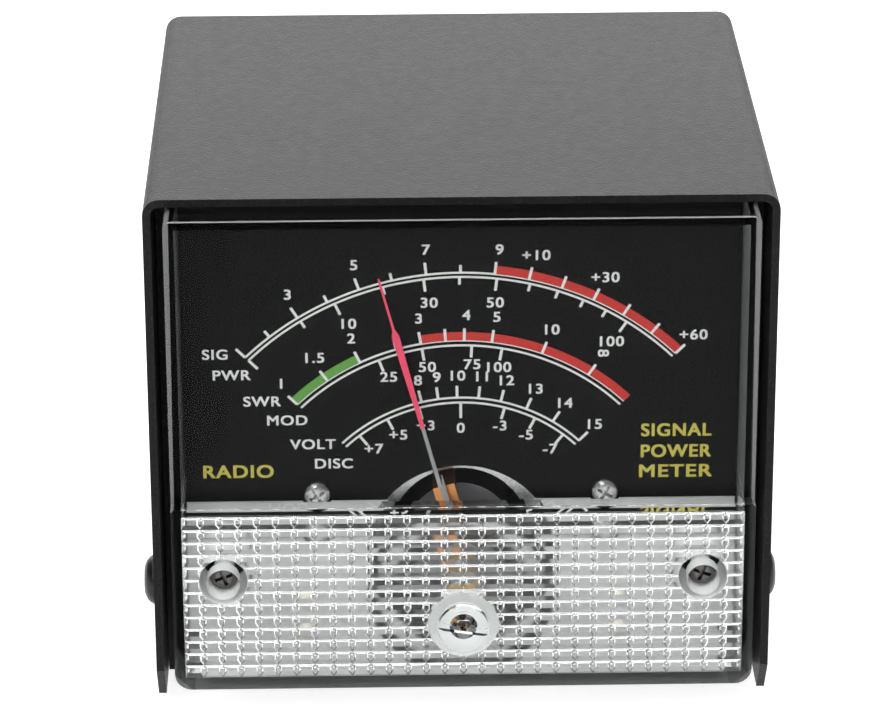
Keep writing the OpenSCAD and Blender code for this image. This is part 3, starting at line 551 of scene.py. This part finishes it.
# Each scale: its line's radius, the side its marks stand on (1 is outwards), the radius of its
# labels, its labelled marks by angle, and its plain marks.
SCALES = {
    "SIG": (54.1, 1, 58.8,
            {-32.1: "3", -19.3: "5", -6.4: "7", 6.4: "9", 12.9: "+10", 25.7: "+30", 44.8: "+60"},
            {-44.8: LONG, -38.6: SHORT, -25.7: SHORT, -12.9: SHORT, 0: SHORT, 19.3: LONG, 32.1: LONG,
             38.6: LONG}),
    "PWR": (53.3, -1, 48.8, {-24.6: "10", -7.0: "30", 6.9: "50", 33.4: "100"},
            {-44.8: LONG, -32.0: SHORT, -14.9: SHORT, -0.2: SHORT, 13.3: SHORT, 18.8: SHORT,
             24.0: SHORT, 28.8: SHORT}),
    "SWR": (41.25, 1, 46.1,
            {-44.8: "1", -35.0: "1.5", -25.6: "2", -9.8: "3", 0.9: "4", 7.7: "5", 20.5: "10",
             33.4: "infinity"},
            {-16.0: SHORT, -3.7: LONG}),
    "MOD": (40.3, -1, 36.7, {-21.1: "25", -9.8: "50", 2.8: "75", 10.5: "100"}, {}),
    "VOLT": (30.25, 1, 34.5,
             {-13.3: "8", -7.6: "9", -1.2: "10", 6.0: "11", 13.6: "12", 22.7: "13", 32.8: "14",
              44.2: "15"}, {}),
    "DISC": (29.3, -1, 25.7,
             {-38.1: "+7", -26.5: "+5", -14.7: "+3", 15.5: "-3", 26.9: "-5", 38.6: "-7"},
             {0: 3.0}),
}
ZERO_LABEL_R = 24.4

# The middle of each scale's name, and of each yellow word with its width, from the pointer's axis.
NAMES = {"SIG": (-43.5, 39.0), "PWR": (-40.6, 35.0), "SWR": (-35.3, 29.9), "MOD": (-30.9, 26.2),
         "VOLT": (-26.4, 21.5), "DISC": (-22.7, 17.7)}
WORDS = {"RADIO": (-39.8, 16.3, 12.4), "SIGNAL": (38.5, 23.6, 12.4), "POWER": (38.5, 19.5, 12.4),
         "METER": (38.5, 15.6, 12.9)}


def on_dial(radius, degrees, layer):
    """A point on the dial, from its polar place about the pointer's axis."""
    a = math.radians(degrees)
    return flat_on_dial(radius * math.sin(a), radius * math.cos(a), layer)


def flat_on_dial(x, z, layer):
    """A point on the dial, from its place across and above the pointer's axis."""
    return Vector((AXIS.x + x * MM, DIAL_FACE - layer * LAYER * MM, AXIS.z + z * MM))


def arc_band(bm, r0, r1, start, end, layer):
    """A flat band between two radii and two angles."""
    steps = round((end - start) / 1.5)
    rows = [[bm.verts.new(on_dial(r, start + (end - start) * k / steps, layer)) for r in (r0, r1)]
            for k in range(steps + 1)]
    for a, b in zip(rows, rows[1:]):
        bm.faces.new((a[0], b[0], b[1], a[1]))


def tick(bm, r0, r1, degrees):
    """A straight radial mark."""
    angle = math.radians(degrees)
    across = Vector((math.cos(angle), 0, -math.sin(angle))) * TICK_W * MM / 2
    a, b = on_dial(r0, degrees, MARK_LAYER), on_dial(r1, degrees, MARK_LAYER)
    bm.faces.new([bm.verts.new(p) for p in (a - across, a + across, b + across, b - across)])


def lettering(bm, text, place, height, turn=0.0, width=None, bold=0.07):
    """Flat letters, centred on a place on the dial. Their cap height and boldness are in mm."""
    curve = bpy.data.curves.new("letters", "FONT")
    curve.body = text
    curve.size = 1
    curve.space_character = LETTER_GAP
    obj = bpy.data.objects.new("letters", curve)
    bpy.context.collection.objects.link(obj)
    bpy.context.view_layer.update()
    mesh = bpy.data.meshes.new_from_object(obj.evaluated_get(bpy.context.evaluated_depsgraph_get()))
    bpy.data.objects.remove(obj)
    xs = [v.co.x for v in mesh.vertices]
    ys = [v.co.y for v in mesh.vertices]
    centre = Vector(((min(xs) + max(xs)) / 2, (min(ys) + max(ys)) / 2, 0))
    scale = height * MM / CAP
    stretch = width * MM / (max(xs) - min(xs)) if width else scale * LETTER_W
    mesh.transform(Matrix.Rotation(math.pi / 2, 4, "X") @ Matrix.Rotation(-turn, 4, "Z")
                   @ Matrix.Diagonal((stretch, scale, 1, 1)) @ Matrix.Translation(-centre))
    for k, (x, z) in enumerate(BOLD_STEPS):
        shift = Matrix.Translation(place + Vector((x * bold, -k * BOLD_LAYER, z * bold)) * MM)
        mesh.transform(shift)
        bm.from_mesh(mesh)
        mesh.transform(shift.inverted())
    bpy.data.meshes.remove(mesh)


def print_scales(bm):
    """The white lines, marks, figures and names of all six scales."""
    for radius, side, label_r, labelled, plain in SCALES.values():
        edge = SMALL_SCALE_END if radius < 40 else SCALE_END
        arc_band(bm, radius - LINE_W / 2, radius + LINE_W / 2, -edge, edge, LINE_LAYER)
        for degrees, text in labelled.items():
            tick(bm, radius, radius + side * LONG, degrees)
            place = on_dial(label_r, degrees * LABEL_SPREAD + LABEL_SHIFT, MARK_LAYER)
            if text == "infinity":
                lettering(bm, "8", place, DIGIT_H, math.pi / 2)
            else:
                lettering(bm, text, place, DIGIT_H)
        for degrees, length in plain.items():
            tick(bm, radius, radius + side * length, degrees)
    lettering(bm, "0", on_dial(ZERO_LABEL_R, 0, MARK_LAYER), DIGIT_H)
    for name, (x, z) in NAMES.items():
        lettering(bm, name, flat_on_dial(x, z, MARK_LAYER), DIGIT_H)


def print_band(bm, scale, start, end):
    """A coloured band on the outer side of a scale's line."""
    radius = SCALES[scale][0]
    arc_band(bm, radius, radius + BAND_H, start, end, BAND_LAYER)


def make_dial_print(finishes):
    """What is printed on the dial, as one piece for each colour."""
    prints = {colour: bmesh.new() for colour in ("white", "red", "green", "yellow")}
    print_scales(prints["white"])
    print_band(prints["red"], "SIG", 6.4, SCALE_END)
    print_band(prints["red"], "SWR", -9.8, SCALE_END)
    print_band(prints["green"], "SWR", -SCALE_END, -25.6)
    for text, (x, z, width) in WORDS.items():
        lettering(prints["yellow"], text, flat_on_dial(x, z, MARK_LAYER), WORD_H, width=width, bold=0.1)
    for colour, bm in prints.items():
        mesh = mesh_from(f"dial_print_{colour}", bm)
        new_piece(f"dial_print_{colour}", mesh, finishes[f"{colour}_ink"], "case")


# ---------------------------------------------------------------- stage and light

LIGHT_AIM = Vector((0, 0, 0.04))


def make_stage(finishes):
    """The pale floor, a hair under the feet."""
    bm = bmesh.new()
    bmesh.ops.create_grid(bm, x_segments=2, y_segments=2, size=4)
    mesh = mesh_from("floor", bm)
    mesh.materials.append(finishes["floor"].material)
    floor = bpy.data.objects.new("floor", mesh)
    floor.location.z = cad_low.z - 0.2 * MM
    bpy.context.collection.objects.link(floor)


def softbox(name, place, width, height, power):
    """A flat rectangular light that faces the meter, with its power in watts."""
    data = bpy.data.lights.new(name, "AREA")
    data.shape = "RECTANGLE"
    data.size, data.size_y = width, height
    data.energy = power
    lamp = bpy.data.objects.new(name, data)
    lamp.location = place
    lamp.rotation_euler = (LIGHT_AIM - Vector(place)).to_track_quat("-Z", "Y").to_euler()
    bpy.context.collection.objects.link(lamp)


def make_light():
    """Soft light from above, behind and in front, in a dim white room."""
    world = bpy.data.worlds.new("world")
    world.use_nodes = True
    room = world.node_tree.nodes["Background"]
    room.inputs["Color"].default_value = (1, 1, 1, 1)
    room.inputs["Strength"].default_value = 0.25
    bpy.context.scene.world = world
    softbox("top_softbox", (0, 0.1, 1.3), 1.4, 1.2, 15)
    softbox("rear_softbox", (0, 1.7, 0.85), 2.4, 1.2, 27)
    softbox("front_softbox", (-0.5, -1.1, 1.1), 0.9, 0.7, 6)
    bpy.context.scene.view_settings.view_transform = "Standard"


# ---------------------------------------------------------------- build

make_camera()
finishes = make_finishes()
finish_nodes(finishes)
soften_feet()
make_lens(finishes)
make_dial_print(finishes)
make_stage(finishes)
make_light()
